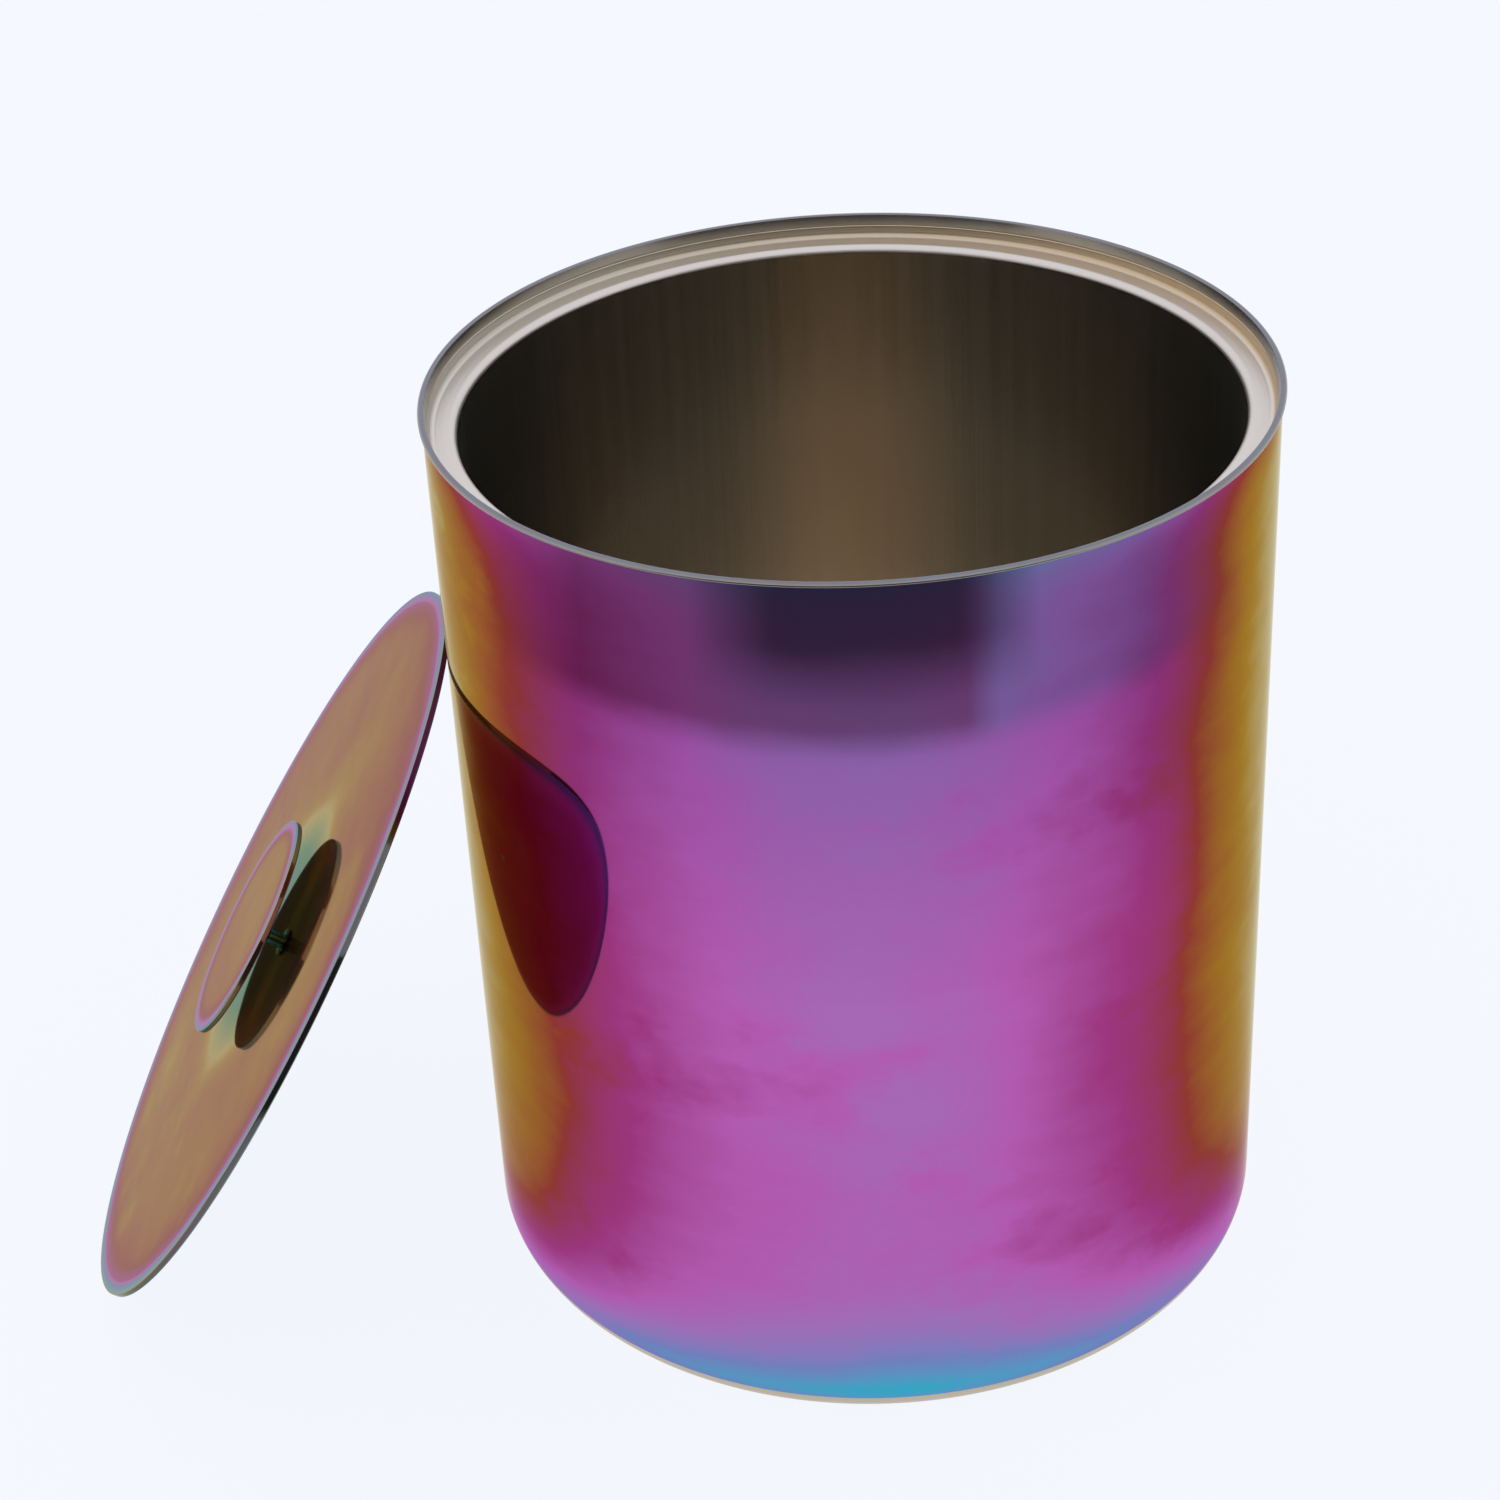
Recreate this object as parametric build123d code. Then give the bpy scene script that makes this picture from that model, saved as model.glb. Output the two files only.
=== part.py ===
from build123d import *
import math
import os

# A large double-walled candle vessel with a drop-in lid.
# The vessel is a drawn mirror cup with a liner pressed into its mouth.
# The lid is a thin disc with a flat round knob on a short thin stem.
# The lid is off and leans on the vessel's -X side, its top face outwards.
# Millimetres, +Z up, origin at the centre of the vessel's base.

# Outer shell
RIM_RADIUS = 75.0            # outside of the rim
HEIGHT = 173.7               # base to rim
WALL_RADIUS = 74.4           # outside of the straight wall
SHELL_SHEET = 0.5            # wall and base thickness
RIM_LAND = 1.1               # rim's outside to the inner edge of its flat top
RIM_EDGE = 0.45              # rounding of the rim's outer edge
HEM_DEPTH = 1.95             # height of the folded hem inside the mouth
HEM_SIDE = 0.55              # height of the hem outside, down to its step
HEM_STEP = 0.1               # height of the step from hem to wall
MOUTH_DEPTH = 6.0            # rim to where the wall starts to open out inside
MOUTH_TAPER = 0.1            # how far it opens out, up to the hem
BASE_CORNER = 6.8            # outside radius where wall meets base

# Inner liner
LINER_SHEET = 0.4
LINER_DROP = 2.0             # rim to the liner's top edge
LINER_BEVEL = 0.15           # width of the bevel on that edge, twice as tall
SEAT_DROP = 4.4              # rim to the ledge inside the mouth
SEAT_RADIUS = 73.45          # inside of the collar above the ledge
SEAT_FILLET = 1.1            # hollow corner that the lid's edge rests in
LEDGE_CORNER = 1.3           # rounded corner where the ledge turns down
LINER_RADIUS = 68.6          # inside of the straight liner wall
LINER_CORNER = 10.0          # inside radius where liner wall meets its floor
FLOOR_HEIGHT = 5.0           # top of the liner's floor above the base

# Lid
LID_RADIUS = 73.3
LID_SHEET = 1.2
LID_EDGE = 0.2               # rounding of the rim's two edges
KNOB_RADIUS = 22.0
KNOB_SHEET = 1.2
KNOB_EDGE = 0.25
KNOB_GAP = 3.6               # lid top to knob underside
STEM_RADIUS = 1.4
TAIL_RADIUS = 1.2            # end that passes through the lid and is riveted there
TENON_RADIUS = 0.9           # upper end, pressed into the knob
TENON_DEPTH = 0.8
COLLAR_RADIUS = 2.6
COLLAR_HEIGHT = 0.7
TAIL_END = 0.1               # riveted end showing under the lid
FIT_GAP = 0.03               # radial clearance of the small round fits
PRESS_GAP = 0.03             # clearance left round the tenon in the knob

# Where the lid leans
LEAN_ANGLE = 57.25           # lid's plane above the horizontal
WALL_GAP = 0.15              # lid's upper edge to the vessel's wall
FOOT_GAP = 0.05              # lid's lowest edge above the surface they stand on


def revolved(face):
    """The solid swept by a face in the XZ plane, turned once round Z."""
    return revolve(face, axis=Axis.Z, revolution_arc=360)


def outer_shell():
    """Drawn cup: flat base, rounded corner, straight wall and hemmed rim."""
    with BuildSketch(Plane.XZ) as section:
        with BuildLine():
            corner_x = WALL_RADIUS - BASE_CORNER
            inner_corner = BASE_CORNER - SHELL_SHEET
            inner_wall = WALL_RADIUS - SHELL_SHEET
            step_top = (RIM_RADIUS, HEIGHT - HEM_SIDE)
            step_foot = (WALL_RADIUS, HEIGHT - HEM_SIDE - HEM_STEP)
            Line((0, 0), (corner_x, 0))
            RadiusArc((corner_x, 0), (WALL_RADIUS, BASE_CORNER), -BASE_CORNER)
            Line((WALL_RADIUS, BASE_CORNER), step_foot)
            Line(step_foot, step_top)
            edge_start = (RIM_RADIUS, HEIGHT - RIM_EDGE)
            Line(step_top, edge_start)
            RadiusArc(edge_start, (RIM_RADIUS - RIM_EDGE, HEIGHT), -RIM_EDGE)
            Line((RIM_RADIUS - RIM_EDGE, HEIGHT), (RIM_RADIUS - RIM_LAND, HEIGHT))
            hem_bottom = HEIGHT - HEM_DEPTH
            Line((RIM_RADIUS - RIM_LAND, HEIGHT), (SEAT_RADIUS, hem_bottom))
            mouth_high = (inner_wall + MOUTH_TAPER, hem_bottom)
            mouth_low = (inner_wall, HEIGHT - MOUTH_DEPTH)
            Line((SEAT_RADIUS, hem_bottom), mouth_high)
            Line(mouth_high, mouth_low)
            Line(mouth_low, (inner_wall, BASE_CORNER))
            RadiusArc((inner_wall, BASE_CORNER), (corner_x, SHELL_SHEET), inner_corner)
            Line((corner_x, SHELL_SHEET), (0, SHELL_SHEET))
            Line((0, SHELL_SHEET), (0, 0))
        make_face()
    return revolved(section.sketch)


def inner_liner():
    """Spun insert: collar, ledge for the lid, straight wall, rounded floor."""
    with BuildSketch(Plane.XZ) as section:
        with BuildLine():
            top = HEIGHT - LINER_DROP
            ledge = HEIGHT - SEAT_DROP
            collar_out = SEAT_RADIUS + LINER_SHEET
            wall_out = LINER_RADIUS + LINER_SHEET
            turn_x = LINER_RADIUS + LEDGE_CORNER
            floor_x = LINER_RADIUS - LINER_CORNER
            Line((0, FLOOR_HEIGHT), (floor_x, FLOOR_HEIGHT))
            floor_end = (LINER_RADIUS, FLOOR_HEIGHT + LINER_CORNER)
            RadiusArc((floor_x, FLOOR_HEIGHT), floor_end, -LINER_CORNER)
            Line(floor_end, (LINER_RADIUS, ledge - LEDGE_CORNER))
            RadiusArc((LINER_RADIUS, ledge - LEDGE_CORNER), (turn_x, ledge), LEDGE_CORNER)
            fillet_start = (SEAT_RADIUS - SEAT_FILLET, ledge)
            Line((turn_x, ledge), fillet_start)
            RadiusArc(fillet_start, (SEAT_RADIUS, ledge + SEAT_FILLET), -SEAT_FILLET)
            bevel_low = (SEAT_RADIUS, top - 2 * LINER_BEVEL)
            bevel_high = (SEAT_RADIUS + LINER_BEVEL, top)
            Line((SEAT_RADIUS, ledge + SEAT_FILLET), bevel_low)
            Line(bevel_low, bevel_high)
            Line(bevel_high, (collar_out, top))
            under = ledge - LINER_SHEET
            under_fillet = SEAT_FILLET + LINER_SHEET
            Line((collar_out, top), (collar_out, under + under_fillet))
            under_end = (collar_out - under_fillet, under)
            RadiusArc((collar_out, under + under_fillet), under_end, under_fillet)
            under_turn = (turn_x, under)
            Line(under_end, under_turn)
            wall_top = (wall_out, ledge - LEDGE_CORNER)
            RadiusArc(under_turn, wall_top, -(LEDGE_CORNER - LINER_SHEET))
            Line(wall_top, (wall_out, FLOOR_HEIGHT + LINER_CORNER))
            base_end = (floor_x, FLOOR_HEIGHT - LINER_SHEET)
            outer_corner = LINER_CORNER + LINER_SHEET
            RadiusArc((wall_out, FLOOR_HEIGHT + LINER_CORNER), base_end, outer_corner)
            Line(base_end, (0, FLOOR_HEIGHT - LINER_SHEET))
            Line((0, FLOOR_HEIGHT - LINER_SHEET), (0, FLOOR_HEIGHT))
        make_face()
    return revolved(section.sketch)


def upright(radius, bottom, top):
    """A plain round bar on the Z axis between two heights."""
    bar = Cylinder(radius, top - bottom, align=(Align.CENTER, Align.CENTER, Align.MIN))
    return Pos(0, 0, bottom) * bar


def ring(radius, hole, bottom, top):
    """A plain round bar with a hole through it."""
    return upright(radius, bottom, top) - upright(hole, bottom, top)


def edges_at(solid, height, radius):
    """The circular edges of a solid at one height and radius."""
    circles = solid.edges().filter_by(GeomType.CIRCLE)
    return [e for e in circles
            if abs(e.radius - radius) < 1e-4 and abs(e.arc_center.Z - height) < 1e-4]


# The lid's pieces are drawn flat, with the underside's centre at the origin.

def lid_disc():
    """Thin plate with a softened rim and the stem's hole."""
    plate = upright(LID_RADIUS, 0, LID_SHEET)
    rims = edges_at(plate, 0, LID_RADIUS) + edges_at(plate, LID_SHEET, LID_RADIUS)
    plate = fillet(rims, LID_EDGE)
    return plate - upright(TAIL_RADIUS + FIT_GAP, 0, LID_SHEET)


def knob_disc():
    """Flat round knob with softened edges and a blind socket for the stem."""
    bottom = LID_SHEET + KNOB_GAP
    top = bottom + KNOB_SHEET
    knob = upright(KNOB_RADIUS, bottom, top)
    rims = edges_at(knob, bottom, KNOB_RADIUS) + edges_at(knob, top, KNOB_RADIUS)
    knob = fillet(rims, KNOB_EDGE)
    return knob - upright(TENON_RADIUS + PRESS_GAP, bottom, bottom + TENON_DEPTH)


def knob_stem():
    """Turned pin: tenon above, plain shank, and a thinner tail riveted in the lid."""
    shank_top = LID_SHEET + KNOB_GAP
    pin = upright(STEM_RADIUS, LID_SHEET, shank_top)
    pin += upright(TENON_RADIUS, shank_top, shank_top + TENON_DEPTH)
    pin += upright(TAIL_RADIUS, -TAIL_END, LID_SHEET)
    return pin


def stem_collar():
    """Small ring round the stem, flat against the knob's underside."""
    top = LID_SHEET + KNOB_GAP
    bottom = top - COLLAR_HEIGHT
    collar = ring(COLLAR_RADIUS, STEM_RADIUS + FIT_GAP, bottom, top)
    return fillet(edges_at(collar, bottom, COLLAR_RADIUS), COLLAR_HEIGHT / 3)


def leaning():
    """The move that stands the flat lid against the vessel's -X side."""
    lean = math.radians(LEAN_ANGLE)
    # The rounded edge reaches a little less far than a sharp one would.
    edge_loss = LID_EDGE * (math.sin(lean) + math.cos(lean) - 1)
    reach = LID_RADIUS * math.cos(lean) - edge_loss
    x = -(WALL_RADIUS + WALL_GAP + reach)
    z = FOOT_GAP + LID_RADIUS * math.sin(lean) - edge_loss
    return Pos(x, 0, z) * Rot(0, -LEAN_ANGLE, 0)


def write(name, shape):
    """Save one named piece as its own STEP file."""
    piece = shape if isinstance(shape, Solid) else shape.solid()
    piece.label = name
    export_step(piece, f"parts/{name}.step")


os.makedirs("parts", exist_ok=True)
for make in (outer_shell, inner_liner):
    write(make.__name__, make())
for make in (lid_disc, knob_disc, knob_stem, stem_collar):
    write(make.__name__, leaning() * make())
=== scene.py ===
import math

import bpy
from mathutils import Matrix, Vector

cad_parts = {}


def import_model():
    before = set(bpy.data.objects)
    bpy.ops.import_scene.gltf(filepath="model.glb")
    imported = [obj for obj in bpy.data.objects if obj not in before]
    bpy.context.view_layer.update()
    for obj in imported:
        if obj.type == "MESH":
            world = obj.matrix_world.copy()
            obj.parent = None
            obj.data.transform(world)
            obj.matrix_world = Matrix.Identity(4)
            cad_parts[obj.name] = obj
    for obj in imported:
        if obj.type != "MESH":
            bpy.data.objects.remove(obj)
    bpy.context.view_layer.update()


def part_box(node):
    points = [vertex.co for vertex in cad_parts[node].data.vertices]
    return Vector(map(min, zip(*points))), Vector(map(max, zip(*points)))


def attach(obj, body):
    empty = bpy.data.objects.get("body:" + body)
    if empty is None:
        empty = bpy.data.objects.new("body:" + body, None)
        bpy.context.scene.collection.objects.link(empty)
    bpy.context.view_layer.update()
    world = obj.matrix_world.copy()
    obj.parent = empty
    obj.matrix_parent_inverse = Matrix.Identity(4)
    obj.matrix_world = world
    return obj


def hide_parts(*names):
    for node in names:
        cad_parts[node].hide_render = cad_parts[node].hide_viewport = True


# Candle vessel with a rainbow mirror coating, its disc lid leaning on it.
# Metres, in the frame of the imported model: +Z up, origin under the vessel.

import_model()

MM = 0.001
SEGMENTS = 360               # faces round the vessel and the lid
SMALL_SEGMENTS = 96          # faces round the stem and collar
ARC_STEP = math.radians(5)   # turn between points of a rounded corner
SUPPORT = 0.15 * MM          # distance of the loops that keep flats flat
LONGEST_RUN = 2.5 * MM       # longest step along a profile

# Sizes that repeat the model's
RIM_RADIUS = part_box("outer_shell")[1].x
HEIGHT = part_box("outer_shell")[1].z
WALL_RADIUS = 74.4 * MM
SHELL_SHEET = 0.5 * MM
RIM_LAND = 1.1 * MM
RIM_EDGE = 0.45 * MM
HEM_DEPTH = 1.95 * MM
HEM_SIDE = 0.55 * MM
HEM_STEP = 0.1 * MM
MOUTH_DEPTH = 6.0 * MM
MOUTH_TAPER = 0.1 * MM
BASE_CORNER = 6.8 * MM
LINER_SHEET = 0.4 * MM
LINER_DROP = 2.0 * MM
SEAT_DROP = 4.4 * MM
SEAT_RADIUS = 73.45 * MM
SEAT_FILLET = 1.1 * MM
LEDGE_CORNER = 1.3 * MM
LINER_BEVEL = 0.15 * MM
LINER_RADIUS = 68.6 * MM
LINER_CORNER = 10.0 * MM
FLOOR_HEIGHT = 5.0 * MM
LID_RADIUS = 73.3 * MM
LID_SHEET = 1.2 * MM
LID_EDGE = 0.2 * MM
KNOB_RADIUS = 22.0 * MM
KNOB_SHEET = 1.2 * MM
KNOB_EDGE = 0.25 * MM
KNOB_GAP = 3.6 * MM
STEM_RADIUS = 1.4 * MM
COLLAR_RADIUS = 2.6 * MM
COLLAR_HEIGHT = 0.7 * MM
TAIL_RADIUS = 1.2 * MM
TAIL_END = 0.1 * MM
LEAN = math.radians(57.25)
WALL_GAP = 0.15 * MM
FOOT_GAP = 0.05 * MM
FIT_GAP = 0.03 * MM
FLAT = 0.02 * MM             # how near to a flat face still counts as on it


# ---------------------------------------------------------------- meshes

def arc(centre, radius, start, end):
    """Points of an arc in the profile plane, angles in degrees."""
    a, b = math.radians(start), math.radians(end)
    steps = max(4, math.ceil(abs(b - a) / ARC_STEP))
    turns = [a + (b - a) * i / steps for i in range(steps + 1)]
    return [(centre[0] + radius * math.cos(t), centre[1] + radius * math.sin(t)) for t in turns]


def supported(points):
    """The profile with its long runs divided, and a point close to each end of them."""
    out = []
    for i, p in enumerate(points):
        q = points[(i + 1) % len(points)]
        run = math.dist(p, q)
        out.append(p)
        if run > 4 * SUPPORT:
            steps = math.ceil(run / LONGEST_RUN)
            shares = [SUPPORT / run, *(k / steps for k in range(1, steps)), 1 - SUPPORT / run]
            out += [(p[0] + (q[0] - p[0]) * t, p[1] + (q[1] - p[1]) * t) for t in shares]
    return out


def lathe(name, points, segments=SEGMENTS, film=None, place=None, second_material_at=None):
    """A closed solid turned round Z from a closed profile of (radius, height) points.
    The last argument says which places on the profile take the second material: bare steel on the shell,
    and a coat darkened as painted shade on the lid's underside and cut edge and on the knob's underside."""
    points = supported(points)
    verts, faces, film_values, slots, rings = [], [], [], [], []
    for r, z in points:
        on_axis = r < 1e-7
        count = 1 if on_axis else segments
        rings.append((len(verts), count))
        for k in range(count):
            turn = 2 * math.pi * k / segments
            verts.append((r * math.cos(turn), r * math.sin(turn), z))
            film_values.append(film(r, z, turn) if film else 1.0)
    for i, (base, count) in enumerate(rings):
        nxt, nxt_count = rings[(i + 1) % len(rings)]
        if count == 1 and nxt_count == 1:
            continue
        following = points[(i + 1) % len(points)]
        middle = ((points[i][0] + following[0]) / 2, (points[i][1] + following[1]) / 2)
        second_slot = int(bool(second_material_at and second_material_at(*middle)))
        for k in range(segments):
            m = (k + 1) % segments
            a, b = (base, base) if count == 1 else (base + k, base + m)
            c, d = (nxt, nxt) if nxt_count == 1 else (nxt + m, nxt + k)
            corner = [a, b, c, d]
            faces.append([v for j, v in enumerate(corner) if v != corner[j - 1]])
            slots.append(second_slot)
    mesh = bpy.data.meshes.new(name)
    mesh.from_pydata(verts, [], faces)
    values = mesh.attributes.new("film", "FLOAT", "POINT")
    values.data.foreach_set("value", film_values)
    mesh.polygons.foreach_set("material_index", slots)
    if place is not None:
        mesh.transform(place)
    mesh.shade_smooth()
    obj = bpy.data.objects.new(name, mesh)
    bpy.context.scene.collection.objects.link(obj)
    return obj


# ------------------------------------------------------- film thickness

def edge_gain(distance, gain, reach):
    """Extra film that builds up towards an edge."""
    return gain * math.exp(-max(distance, 0.0) / reach)


def shell_film(r, z, turn):
    """Thicker round the base corner and at the rim."""
    under = max(WALL_RADIUS - r, 0.0) if z < BASE_CORNER else 0.0
    low = edge_gain(z, 0.48, 11.4 * MM) + 0.6 * min(under / BASE_CORNER, 1.0)
    return 1.0 + low + edge_gain(HEIGHT - HEM_SIDE - z, 0.06, 3.5 * MM)


def knob_film(r, z, turn):
    """Thicker at the knob's rim."""
    return 1.042 + edge_gain(KNOB_RADIUS - r, 0.46, 1.0 * MM) + edge_gain(KNOB_RADIUS - r, 0.06, 3.0 * MM)


def lid_film(r, z, turn):
    """Thicker at the rim and underneath, thinner where the knob shades the plate."""
    if z < LID_SHEET / 4:
        return 1.11 + edge_gain(LID_RADIUS - r, 0.35, 2.6 * MM)
    shaded = 0.21 * math.exp(-((r / (24 * MM)) ** 4))
    foot = 1.15 - 0.35 * math.cos(turn - math.radians(45))
    rim = edge_gain(LID_RADIUS - r, 0.55 * foot, 1.0 * MM) + edge_gain(LID_RADIUS - r, 0.12, 5.5 * MM)
    return 1.042 + rim - shaded


def stem_film(r, z, turn):
    """The same all over the stem."""
    return 1.45


# ---------------------------------------------------------------- profiles

def shell_profile():
    corner_x = WALL_RADIUS - BASE_CORNER
    inner = WALL_RADIUS - SHELL_SHEET
    edge = RIM_EDGE
    out = [(0, 0)] + arc((corner_x, BASE_CORNER), BASE_CORNER, -90, 0)
    out += [(WALL_RADIUS, HEIGHT - HEM_SIDE - HEM_STEP), (RIM_RADIUS, HEIGHT - HEM_SIDE)]
    out += arc((RIM_RADIUS - edge, HEIGHT - edge), edge, 0, 90)
    hem_bottom = HEIGHT - HEM_DEPTH
    out += [(RIM_RADIUS - RIM_LAND + 0.05 * MM, HEIGHT), (RIM_RADIUS - RIM_LAND, HEIGHT - 0.05 * MM)]
    out += [(SEAT_RADIUS, hem_bottom), (inner + MOUTH_TAPER, hem_bottom)]
    out += [(inner, HEIGHT - MOUTH_DEPTH)]
    out += arc((corner_x, BASE_CORNER), BASE_CORNER - SHELL_SHEET, 0, -90)
    out += [(0, SHELL_SHEET)]
    return out


def liner_profile():
    top = HEIGHT - LINER_DROP
    ledge = HEIGHT - SEAT_DROP
    outer = SEAT_RADIUS + LINER_SHEET
    floor_x = LINER_RADIUS - LINER_CORNER
    turn_x = LINER_RADIUS + LEDGE_CORNER
    out = [(0, FLOOR_HEIGHT - LINER_SHEET)]
    out += arc((floor_x, FLOOR_HEIGHT + LINER_CORNER), LINER_CORNER + LINER_SHEET, -90, 0)
    out += arc((turn_x, ledge - LEDGE_CORNER), LEDGE_CORNER - LINER_SHEET, 180, 90)
    under = SEAT_FILLET + LINER_SHEET
    out += arc((outer - under, ledge - LINER_SHEET + under), under, -90, 0)
    out += [(outer, top), (SEAT_RADIUS + LINER_BEVEL, top), (SEAT_RADIUS, top - 2 * LINER_BEVEL)]
    out += arc((SEAT_RADIUS - SEAT_FILLET, ledge + SEAT_FILLET), SEAT_FILLET, 0, -90)
    out += arc((turn_x, ledge - LEDGE_CORNER), LEDGE_CORNER, 90, 180)
    out += arc((floor_x, FLOOR_HEIGHT + LINER_CORNER), LINER_CORNER, 0, -90)
    out += [(0, FLOOR_HEIGHT)]
    return out


def lid_profile():
    hole = TAIL_RADIUS + FIT_GAP
    out = [(hole, 0)]
    out += arc((LID_RADIUS - LID_EDGE, LID_EDGE), LID_EDGE, -90, 0)
    out += arc((LID_RADIUS - LID_EDGE, LID_SHEET - LID_EDGE), LID_EDGE, 0, 90)
    out += [(hole, LID_SHEET)]
    return out


def knob_profile():
    bottom = LID_SHEET + KNOB_GAP
    top = bottom + KNOB_SHEET
    out = [(0, bottom)]
    out += arc((KNOB_RADIUS - KNOB_EDGE, bottom + KNOB_EDGE), KNOB_EDGE, -90, 0)
    out += arc((KNOB_RADIUS - KNOB_EDGE, top - KNOB_EDGE), KNOB_EDGE, 0, 90)
    out += [(0, top)]
    return out


def stem_profile():
    top = LID_SHEET + KNOB_GAP
    tail = [(0, -TAIL_END), (TAIL_RADIUS, -TAIL_END), (TAIL_RADIUS, LID_SHEET)]
    return tail + [(STEM_RADIUS, LID_SHEET), (STEM_RADIUS, top), (0, top)]


def collar_profile():
    top = LID_SHEET + KNOB_GAP
    soft = COLLAR_HEIGHT / 3
    hole = STEM_RADIUS + FIT_GAP
    out = [(hole, top - COLLAR_HEIGHT)]
    out += arc((COLLAR_RADIUS - soft, top - COLLAR_HEIGHT + soft), soft, -90, 0)
    out += [(COLLAR_RADIUS, top), (hole, top)]
    return out


# ---------------------------------------------------------------- materials

class Nodes:
    """A short way to write a node tree."""

    def __init__(self, name):
        self.material = bpy.data.materials.new(name)
        self.material.use_nodes = True
        self.tree = self.material.node_tree
        self.tree.nodes.clear()

    def add(self, kind, settings=None, **inputs):
        node = self.tree.nodes.new(kind)
        for key, value in (settings or {}).items():
            setattr(node, key, value)
        for key, value in inputs.items():
            self.put(node.inputs[key.replace("_", " ")], value)
        return node

    def put(self, socket, value):
        if isinstance(value, bpy.types.NodeSocket):
            self.tree.links.new(value, socket)
        else:
            socket.default_value = value

    def math(self, operation, *values):
        node = self.tree.nodes.new("ShaderNodeMath")
        node.operation = operation
        for socket, value in zip(node.inputs, values):
            self.put(socket, value)
        return node.outputs[0]

    def noise(self, vector, scale, detail=3.0, roughness=0.55):
        node = self.add("ShaderNodeTexNoise", Scale=scale, Detail=detail, Roughness=roughness)
        self.put(node.inputs["Vector"], vector)
        return node.outputs["Fac"]

    def stretched(self, vector, scale):
        node = self.add("ShaderNodeMapping")
        self.put(node.inputs["Vector"], vector)
        node.inputs["Scale"].default_value = scale
        return node.outputs[0]

    def between(self, value, start, end):
        """0 up to start, 1 from end on, and even in between."""
        share = self.math("DIVIDE", self.math("SUBTRACT", value, start), end - start)
        return self.math("MINIMUM", self.math("MAXIMUM", share, 0.0), 1.0)

    def mix(self, share, a, b):
        node = self.tree.nodes.new("ShaderNodeMix")
        node.data_type = "RGBA"
        self.put(node.inputs[0], share)
        self.put(node.inputs[6], a)
        self.put(node.inputs[7], b)
        return node.outputs[2]

    def ramp(self, value, stops):
        node = self.tree.nodes.new("ShaderNodeValToRGB")
        elements = node.color_ramp.elements
        while len(elements) > 1:
            elements.remove(elements[-1])
        elements[0].position, elements[0].color = stops[0][0], (*stops[0][1], 1)
        for place, colour in stops[1:]:
            elements.new(place).color = (*colour, 1)
        self.put(node.inputs[0], value)
        return node.outputs[0]

    def finish(self, shader):
        out = self.tree.nodes.new("ShaderNodeOutputMaterial")
        self.tree.links.new(shader, out.inputs["Surface"])
        return self.material


# Interference colours in order of growing film thickness, as reflectance.
# The first number is the film's optical thickness, seen head on = 1.
FILM_COLOURS = (
    (0.50, (0.04, 0.20, 0.26)),     # deep teal
    (0.62, (0.08, 0.24, 0.12)),     # green
    (0.70, (0.44, 0.33, 0.09)),     # gold
    (0.72, (0.38, 0.20, 0.01)),     # amber
    (0.77, (0.30, 0.04, 0.03)),     # red
    (0.82, (0.36, 0.04, 0.21)),     # crimson
    (0.88, (0.48, 0.11, 0.44)),     # magenta
    (0.93, (0.37, 0.17, 0.48)),     # violet
    (1.00, (0.18, 0.23, 0.52)),     # blue
    (1.10, (0.04, 0.40, 0.57)),     # cyan
    (1.25, (0.24, 0.53, 0.43)),     # sea green
    (1.40, (0.50, 0.56, 0.22)),     # yellow green
    (1.55, (0.56, 0.34, 0.34)),     # pink
    (1.75, (0.40, 0.46, 0.46)),     # grey
)
FILM_SPAN = (0.5, 1.8)       # optical thickness at the ends of the ramp
FILM_INDEX = 1.4
GRAZING_POWER = 12.0         # how quickly the mirror whitens at its edge
GRAZING_COLOUR = (0.97, 0.91, 0.76, 1)
STAIN_START = 0.58           # noise level above which the film is stained
DULL_GAIN = 3.5              # how much more a thick film is dulled


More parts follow.
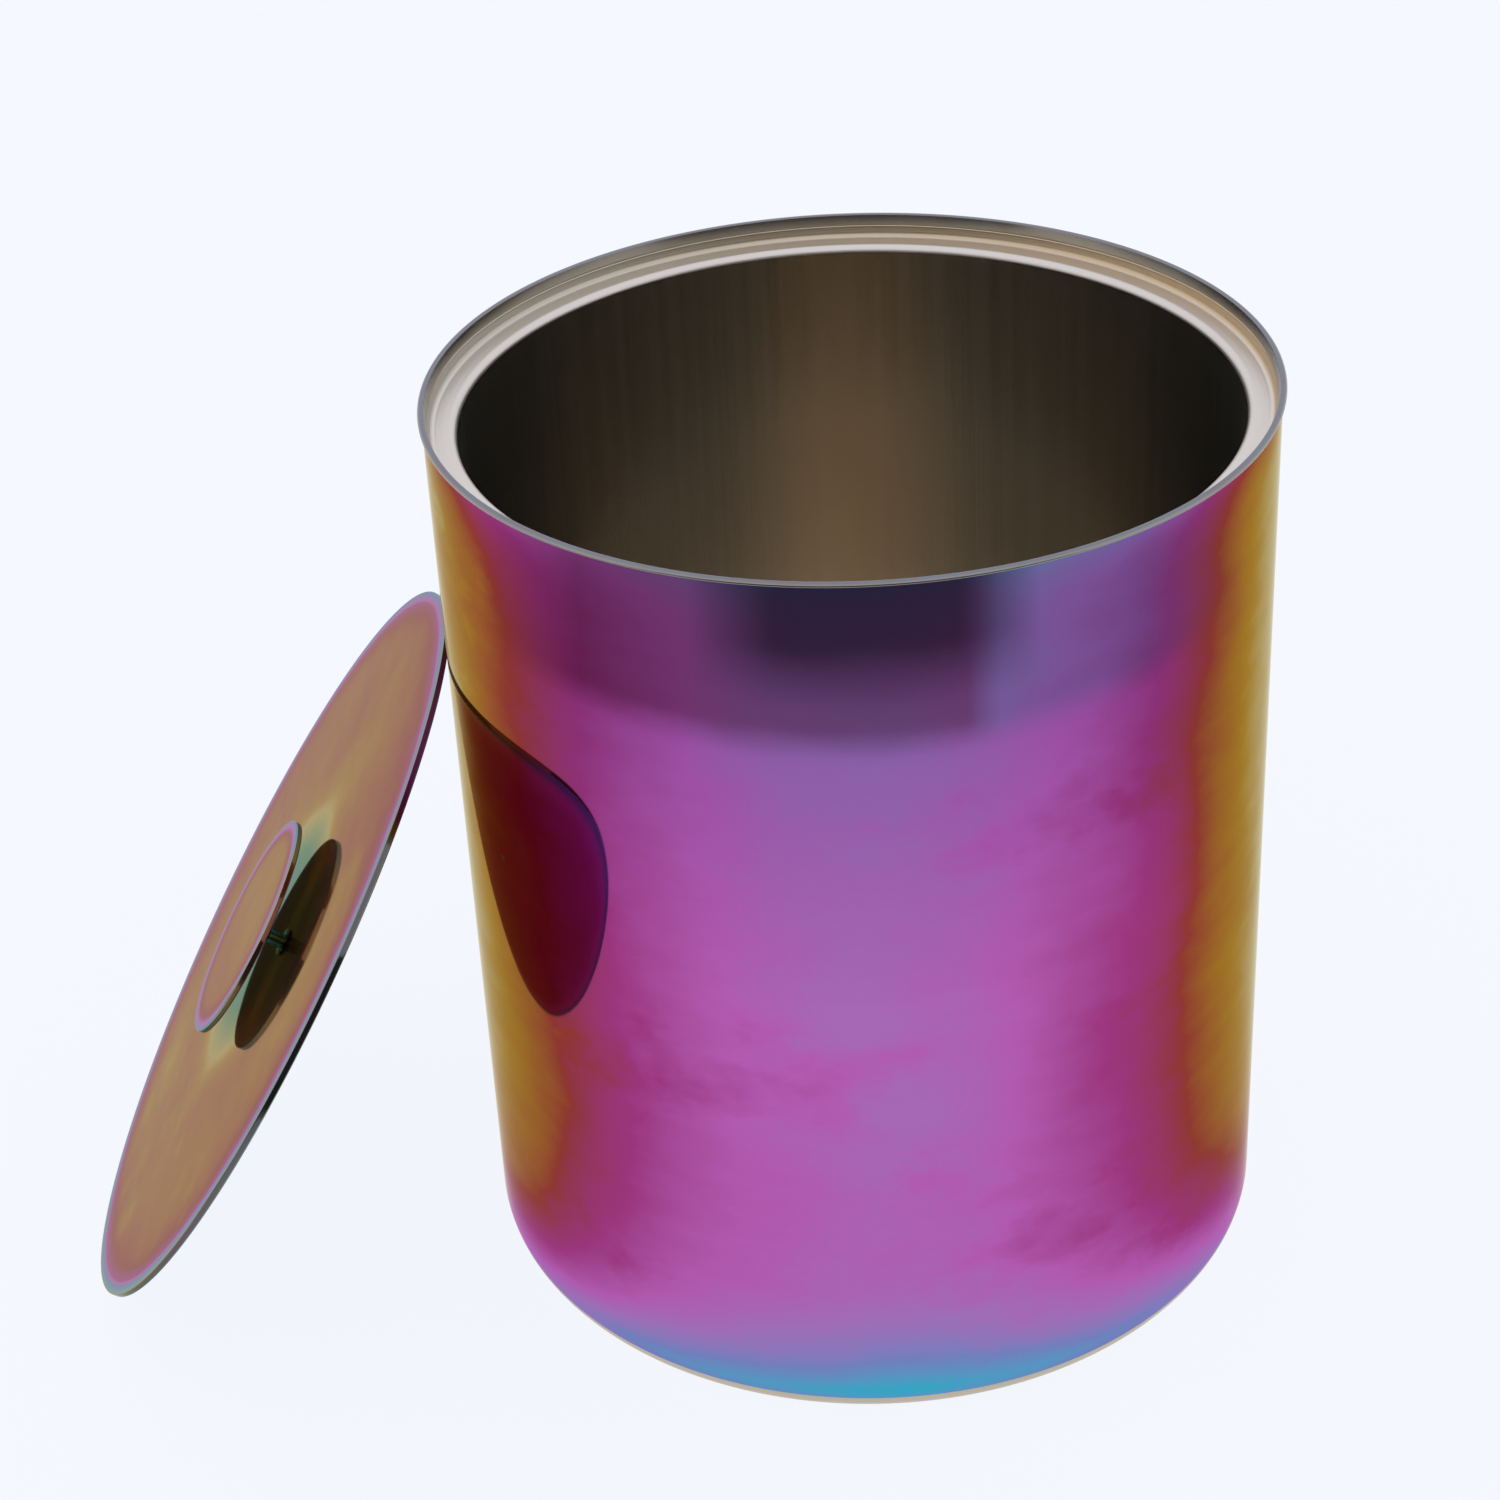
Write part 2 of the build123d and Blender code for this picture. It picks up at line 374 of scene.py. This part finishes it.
def film_mirror(name, unevenness=0.085, dull_and_shade=0.0, dull_and_shade_colour=(0.24, 0.17, 0.15), haze=0.06):
    """Polished metal under a clear film whose colour follows its thickness and the angle."""
    n = Nodes(name)
    place = n.add("ShaderNodeTexCoord").outputs["Object"]
    film = n.add("ShaderNodeAttribute", {"attribute_name": "film"}).outputs["Fac"]
    patches = n.noise(place, 22.0, 3.0, 0.5)
    smears = n.noise(n.stretched(place, (60, 60, 190)), 1.0, 4.0, 0.6)
    uneven = n.math("MULTIPLY_ADD", n.math("SUBTRACT", patches, 0.5), unevenness, 1.0)
    uneven = n.math("MULTIPLY_ADD", n.math("SUBTRACT", smears, 0.5), 0.03, uneven)
    stains = n.noise(n.stretched(place, (17, 17, 26)), 1.0, 5.0, 0.62)
    stains = n.math("MULTIPLY", n.math("MAXIMUM", n.math("SUBTRACT", stains, STAIN_START), 0.0), 8.0)
    stains = n.math("MINIMUM", stains, 1.0)
    uneven = n.math("MULTIPLY_ADD", stains, -0.035, uneven)
    film = n.math("MULTIPLY", film, uneven)

    weight = n.add("ShaderNodeLayerWeight", Blend=0.5).outputs["Facing"]
    facing = n.math("SUBTRACT", 1.0, weight)
    sine_squared = n.math("SUBTRACT", 1.0, n.math("MULTIPLY", facing, facing))
    inside = n.math("SUBTRACT", 1.0, n.math("DIVIDE", sine_squared, FILM_INDEX ** 2))
    optical = n.math("MULTIPLY", film, n.math("SQRT", inside))

    low, high = FILM_SPAN
    share = n.math("DIVIDE", n.math("SUBTRACT", optical, low), high - low)
    stops = [((t - low) / (high - low), colour) for t, colour in FILM_COLOURS]
    # Mixes toward a second colour: a dulled look where the film is thick, and painted shade where that
    # colour is near-black.
    muted = n.math("MAXIMUM", n.math("MULTIPLY_ADD", film, DULL_GAIN * dull_and_shade, -DULL_GAIN * dull_and_shade), 0.0)
    muted = n.math("MINIMUM", n.math("ADD", muted, dull_and_shade), 0.8)
    colour = n.mix(muted, n.ramp(share, stops), (*dull_and_shade_colour, 1))
    grazing = n.math("POWER", weight, GRAZING_POWER)
    colour = n.mix(grazing, colour, GRAZING_COLOUR)

    ripple = n.noise(place, 30.0, 2.0, 0.4)
    fine = n.noise(place, 900.0, 2.0, 0.5)
    height = n.math("MULTIPLY_ADD", fine, 0.004, ripple)
    bump = n.add("ShaderNodeBump", Strength=0.04, Distance=0.002, Height=height).outputs[0]
    rough = n.math("MULTIPLY_ADD", stains, 0.06, n.math("MULTIPLY_ADD", smears, 0.05, 0.015))
    sharp = n.add("ShaderNodeBsdfGlossy", Color=colour, Roughness=rough, Normal=bump)
    soft = n.add("ShaderNodeBsdfGlossy", Color=colour, Roughness=0.32, Normal=bump)
    both = n.add("ShaderNodeMixShader")
    n.put(both.inputs[0], haze)
    n.put(both.inputs[1], sharp.outputs[0])
    n.put(both.inputs[2], soft.outputs[0])
    return n.finish(both.outputs[0])


def satin_steel(name):
    """Uncoated spun steel: upright streaks in the bore, turned rings on the collar and ledge."""
    n = Nodes(name)
    place = n.add("ShaderNodeTexCoord").outputs["Object"]
    split = n.add("ShaderNodeSeparateXYZ")
    n.put(split.inputs[0], place)
    x, y, z = split.outputs
    radius = n.math("SQRT", n.math("ADD", n.math("MULTIPLY", x, x), n.math("MULTIPLY", y, y)))
    rings = n.add("ShaderNodeCombineXYZ")
    n.put(rings.inputs[0], n.math("MULTIPLY", radius, 2600.0))
    n.put(rings.inputs[1], n.math("MULTIPLY", z, 2600.0))
    turned = n.noise(rings.outputs[0], 1.0, 3.0, 0.6)
    streaks = n.noise(n.stretched(place, (420, 420, 6)), 1.0, 4.0, 0.6)
    upper = n.math("GREATER_THAN", z, HEIGHT - SEAT_DROP - LEDGE_CORNER)
    grain = n.mix(upper, streaks, turned)

    # Bore: warm, cloudy and brighter low down
    clouds = n.noise(n.stretched(place, (30, 30, 14)), 1.0, 3.0, 0.5)
    bore = n.mix(clouds, (0.58, 0.50, 0.41, 1), (0.86, 0.77, 0.64, 1))
    bore = n.mix(n.math("MULTIPLY", grain, 0.25), bore, (0.84, 0.78, 0.70, 1))
    # Darker towards the bore's left and right (±X): painted shade.
    sideways = n.math("DIVIDE", n.math("ABSOLUTE", x), LINER_RADIUS)
    bore = n.mix(n.math("POWER", sideways, 4.0), bore, (0.42, 0.43, 0.42, 1))
    # Collar: pale beige on the -X side, going over to gold on the +X side
    turn = n.math("MULTIPLY_ADD", x, 0.5 / SEAT_RADIUS, 0.5)
    collar = n.mix(turn, (0.50, 0.47, 0.40, 1), (0.62, 0.46, 0.28, 1))
    above_ledge = n.math("SUBTRACT", z, HEIGHT - SEAT_DROP + 0.05 * MM)
    on_collar = n.math("MULTIPLY", above_ledge, 1 / (0.25 * MM))
    on_collar = n.math("MINIMUM", n.math("MAXIMUM", on_collar, 0.0), 1.0)
    mouth = n.mix(on_collar, (0.70, 0.65, 0.61, 1), collar)
    tone = n.mix(upper, bore, mouth)

    bump = n.add("ShaderNodeBump", Strength=0.12, Distance=0.0004, Height=grain).outputs[0]
    low = n.math("LESS_THAN", z, FLOOR_HEIGHT + 0.6 * LINER_CORNER)
    rough = n.math("MULTIPLY_ADD", upper, 0.17, n.math("MULTIPLY_ADD", low, 0.25, 0.14))
    rough = n.math("MULTIPLY_ADD", grain, 0.12, rough)
    body = n.add("ShaderNodeBsdfPrincipled", Base_Color=tone, Roughness=rough, Metallic=1.0, Normal=bump)
    return n.finish(body.outputs[0])


def lip_steel(name):
    """The folded edge of the rim: grey coated top, bare beige inside."""
    n = Nodes(name)
    place = n.add("ShaderNodeTexCoord").outputs["Object"]
    split = n.add("ShaderNodeSeparateXYZ")
    n.put(split.inputs[0], place)
    patches = n.noise(place, 60.0, 3.0, 0.6)
    top = n.mix(patches, (0.20, 0.15, 0.18, 1), (0.17, 0.23, 0.27, 1))
    inner = n.mix(patches, (0.50, 0.42, 0.30, 1), (0.58, 0.52, 0.42, 1))
    depth = n.math("DIVIDE", n.math("SUBTRACT", HEIGHT, split.outputs[2]), HEM_DEPTH)
    share = n.math("MINIMUM", n.math("MAXIMUM", depth, 0.0), 1.0)
    tone = n.mix(n.math("POWER", share, 0.5), top, inner)
    rough = n.math("MULTIPLY_ADD", share, 0.2, n.math("MULTIPLY_ADD", patches, 0.1, 0.16))
    body = n.add("ShaderNodeBsdfPrincipled", Base_Color=tone, Roughness=rough, Metallic=1.0)
    return n.finish(body.outputs[0])


def plain_steel(name):
    """Bright turned steel for the stem's collar."""
    n = Nodes(name)
    place = n.add("ShaderNodeTexCoord").outputs["Object"]
    grain = n.noise(place, 1800.0, 3.0, 0.6)
    tone = n.mix(grain, (0.50, 0.50, 0.50, 1), (0.68, 0.67, 0.65, 1))
    bump = n.add("ShaderNodeBump", Strength=0.1, Distance=0.0001, Height=grain).outputs[0]
    rough = n.math("MULTIPLY_ADD", grain, 0.12, 0.14)
    body = n.add("ShaderNodeBsdfPrincipled", Base_Color=tone, Roughness=rough, Metallic=1.0, Normal=bump)
    return n.finish(body.outputs[0])


# ---------------------------------------------------------------- pieces

def lean_place():
    """The move from the lid's flat frame to where it leans."""
    edge_loss = LID_EDGE * (math.sin(LEAN) + math.cos(LEAN) - 1)
    reach = LID_RADIUS * math.cos(LEAN) - edge_loss
    x = -(WALL_RADIUS + WALL_GAP + reach)
    z = FOOT_GAP + LID_RADIUS * math.sin(LEAN) - edge_loss
    return Matrix.Translation((x, 0, z)) @ Matrix.Rotation(-LEAN, 4, "Y")


def use(obj, materials, body, node):
    """Gives a piece its materials, attaches it to the body that it rides on and hides the model's part that
    it stands for.
    """
    for material in materials:
        obj.data.materials.append(material)
    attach(obj, body)
    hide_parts(node)


coated = film_mirror("rainbow_mirror")
coated_lid = film_mirror("rainbow_lid", unevenness=0.12, dull_and_shade=0.17)
# Mixed toward near-black: painted shade on the lid's underside and cut edge, over the thicker film there.
coated_under = film_mirror("rainbow_under", dull_and_shade=0.22, dull_and_shade_colour=(0.05, 0.04, 0.05))
coated_stem = film_mirror("rainbow_stem", haze=0.8)
# Mostly near-black: painted shade on the knob's underside, between knob and lid.
shaded = film_mirror("painted_shade_coat", dull_and_shade=0.8, dull_and_shade_colour=(0.05, 0.04, 0.04))
steel = satin_steel("satin_steel")
lip = lip_steel("lip_steel")
bright = plain_steel("bright_steel")


def inside_shell(r, z):
    """The shell's inner face and its folded rim, which the rainbow coating doesn't reach."""
    on_top = z > HEIGHT - HEM_SIDE
    inside = r < WALL_RADIUS - SHELL_SHEET * 0.6 and z > SHELL_SHEET * 0.6
    return on_top or inside


def under_lid(r, z):
    """The lid's flat underside and its cut edge, darkened as painted shade."""
    return z < FLAT or r > LID_RADIUS - FLAT


def under_knob(r, z):
    """The knob's flat underside, darkened as painted shade between knob and lid."""
    return z < LID_SHEET + KNOB_GAP + FLAT


shell = lathe("vessel_shell", shell_profile(), film=shell_film, second_material_at=inside_shell)
use(shell, (coated, lip), "vessel", "outer_shell")
use(lathe("vessel_liner", liner_profile()), (steel,), "vessel", "inner_liner")

lean = lean_place()
lid = lathe("lid_plate", lid_profile(), film=lid_film, place=lean, second_material_at=under_lid)
use(lid, (coated_lid, coated_under), "lid", "lid_disc")
knob = lathe("lid_knob", knob_profile(), film=knob_film, place=lean, second_material_at=under_knob)
use(knob, (coated_lid, shaded), "lid", "knob_disc")
stem = lathe("lid_stem", stem_profile(), SMALL_SEGMENTS, film=stem_film, place=lean)
use(stem, (coated_stem,), "lid", "knob_stem")
collar = lathe("lid_stem_collar", collar_profile(), SMALL_SEGMENTS, place=lean)
use(collar, (bright,), "lid", "stem_collar")


# ---------------------------------------------------------------- studio

# The polished wall mirrors a bright round table with a dim room beyond it.
# Distances are from the vessel's axis.
TABLE_DIMS = 0.20            # where the table starts to lose light
TABLE_EDGE = 0.30
TABLE_LIGHT = (0.90, 0.92, 0.97, 1)
EDGE_BLUR = 0.015
ROOM_DARK = 0.325            # where the room straight ahead is darkest
ROOM_END = 0.90
ROOM_TURN = 112              # degrees that the room reaches to each side


def floor():
    """Plain pale sweep under the object."""
    size = 6.0
    mesh = bpy.data.meshes.new("floor")
    corners = [(-size, -size, 0), (size, -size, 0), (size, size, 0), (-size, size, 0)]
    mesh.from_pydata(corners, [], [(0, 1, 2, 3)])
    obj = bpy.data.objects.new("floor", mesh)
    bpy.context.scene.collection.objects.link(obj)
    n = Nodes("pale_floor")
    body = n.add("ShaderNodeBsdfDiffuse", Color=(0.05, 0.05, 0.05, 1))
    glow = n.add("ShaderNodeEmission", Color=(0.868, 0.892, 0.942, 1), Strength=1.0)
    both = n.add("ShaderNodeAddShader")
    n.put(both.inputs[0], body.outputs[0])
    n.put(both.inputs[1], glow.outputs[0])
    mesh.materials.append(n.finish(both.outputs[0]))


def card(name, corners, faces, material):
    """A flat card seen only in reflections."""
    mesh = bpy.data.meshes.new(name)
    mesh.from_pydata(corners, [], faces)
    mesh.materials.append(material)
    obj = bpy.data.objects.new(name, mesh)
    bpy.context.scene.collection.objects.link(obj)
    obj.visible_camera = False
    obj.visible_diffuse = False
    obj.visible_shadow = False


def glow(n, colour):
    """Finishes a material that only shines."""
    return n.finish(n.add("ShaderNodeEmission", Color=colour, Strength=1.0).outputs[0])


def room_light():
    """Table light that falls off to the edge, then a dim room, lit blue-green on its right."""
    n = Nodes("room_light")
    split = n.add("ShaderNodeSeparateXYZ")
    n.put(split.inputs[0], n.add("ShaderNodeTexCoord").outputs["Object"])
    x, y, _ = split.outputs
    distance = n.math("SQRT", n.math("ADD", n.math("MULTIPLY", x, x), n.math("MULTIPLY", y, y)))
    ahead = n.math("DIVIDE", n.math("MULTIPLY", y, -1.0), distance)
    right = n.between(n.math("DIVIDE", x, distance), 0.40, 0.52)
    far = n.between(distance, ROOM_DARK, ROOM_DARK + 2 * EDGE_BLUR)
    straight = n.between(ahead, 0.74, 0.93)
    table = n.mix(n.between(distance, TABLE_DIMS, TABLE_EDGE), TABLE_LIGHT, (0.66, 0.70, 0.82, 1))
    room = n.mix(right, (0.30, 0.26, 0.30, 1), (0.37, 0.72, 0.66, 1))
    room = n.mix(n.math("MULTIPLY", far, straight), room, (0.05, 0.045, 0.05, 1))
    tone = n.mix(n.between(distance, TABLE_EDGE, TABLE_EDGE + EDGE_BLUR), table, room)
    tone = n.mix(n.between(ahead, -0.36, 0.30), TABLE_LIGHT, tone)
    return glow(n, tone)


def room():
    """A ring on the floor in front of the vessel and on both sides."""
    steps = 96
    turns = [math.radians(ROOM_TURN * (2 * i / steps - 1)) for i in range(steps + 1)]
    corners = [(r * math.sin(t), -r * math.cos(t), 1.0 * MM) for t in turns for r in (TABLE_DIMS, ROOM_END)]
    faces = [(2 * i, 2 * i + 2, 2 * i + 3, 2 * i + 1) for i in range(steps)]
    card("room", corners, faces, room_light())


def far_wall():
    """The dark wall behind the camera."""
    low, high, away = 0.0, 0.45, -0.75
    corners = [(-1, away, low), (1, away, low), (1, away, high), (-1, away, high)]
    card("far_wall", corners, [(0, 1, 2, 3)], glow(Nodes("far_wall"), (0.06, 0.055, 0.06, 1)))


def world():
    w = bpy.data.worlds.new("studio")
    bpy.context.scene.world = w
    w.use_nodes = True
    tree = w.node_tree
    back = tree.nodes["Background"]
    back.inputs["Color"].default_value = (0.93, 0.95, 1.0, 1)
    back.inputs["Strength"].default_value = 1.0


def camera():
    """Looks down on the vessel from in front, slightly rolled."""
    yaw, pitch, roll = math.radians(-0.53), math.radians(31.61), math.radians(3.05)
    ahead = Vector((math.sin(yaw) * math.cos(pitch), math.cos(yaw) * math.cos(pitch), -math.sin(pitch)))
    right = Vector((math.cos(yaw), -math.sin(yaw), 0))
    down = ahead.cross(right)
    rolled = math.cos(roll) * right + math.sin(roll) * down
    down = math.cos(roll) * down - math.sin(roll) * right
    right = rolled
    data = bpy.data.cameras.new("camera")
    data.sensor_width = 36.0
    data.lens = 75.29
    obj = bpy.data.objects.new("camera", data)
    turn = Matrix((right, -down, -ahead)).transposed().to_4x4()
    obj.matrix_world = Matrix.Translation((-0.01605, -0.49695, 0.4046)) @ turn
    bpy.context.scene.collection.objects.link(obj)
    bpy.context.scene.camera = obj


floor()
room()
far_wall()
world()
camera()
bpy.context.scene.view_settings.view_transform = "Standard"
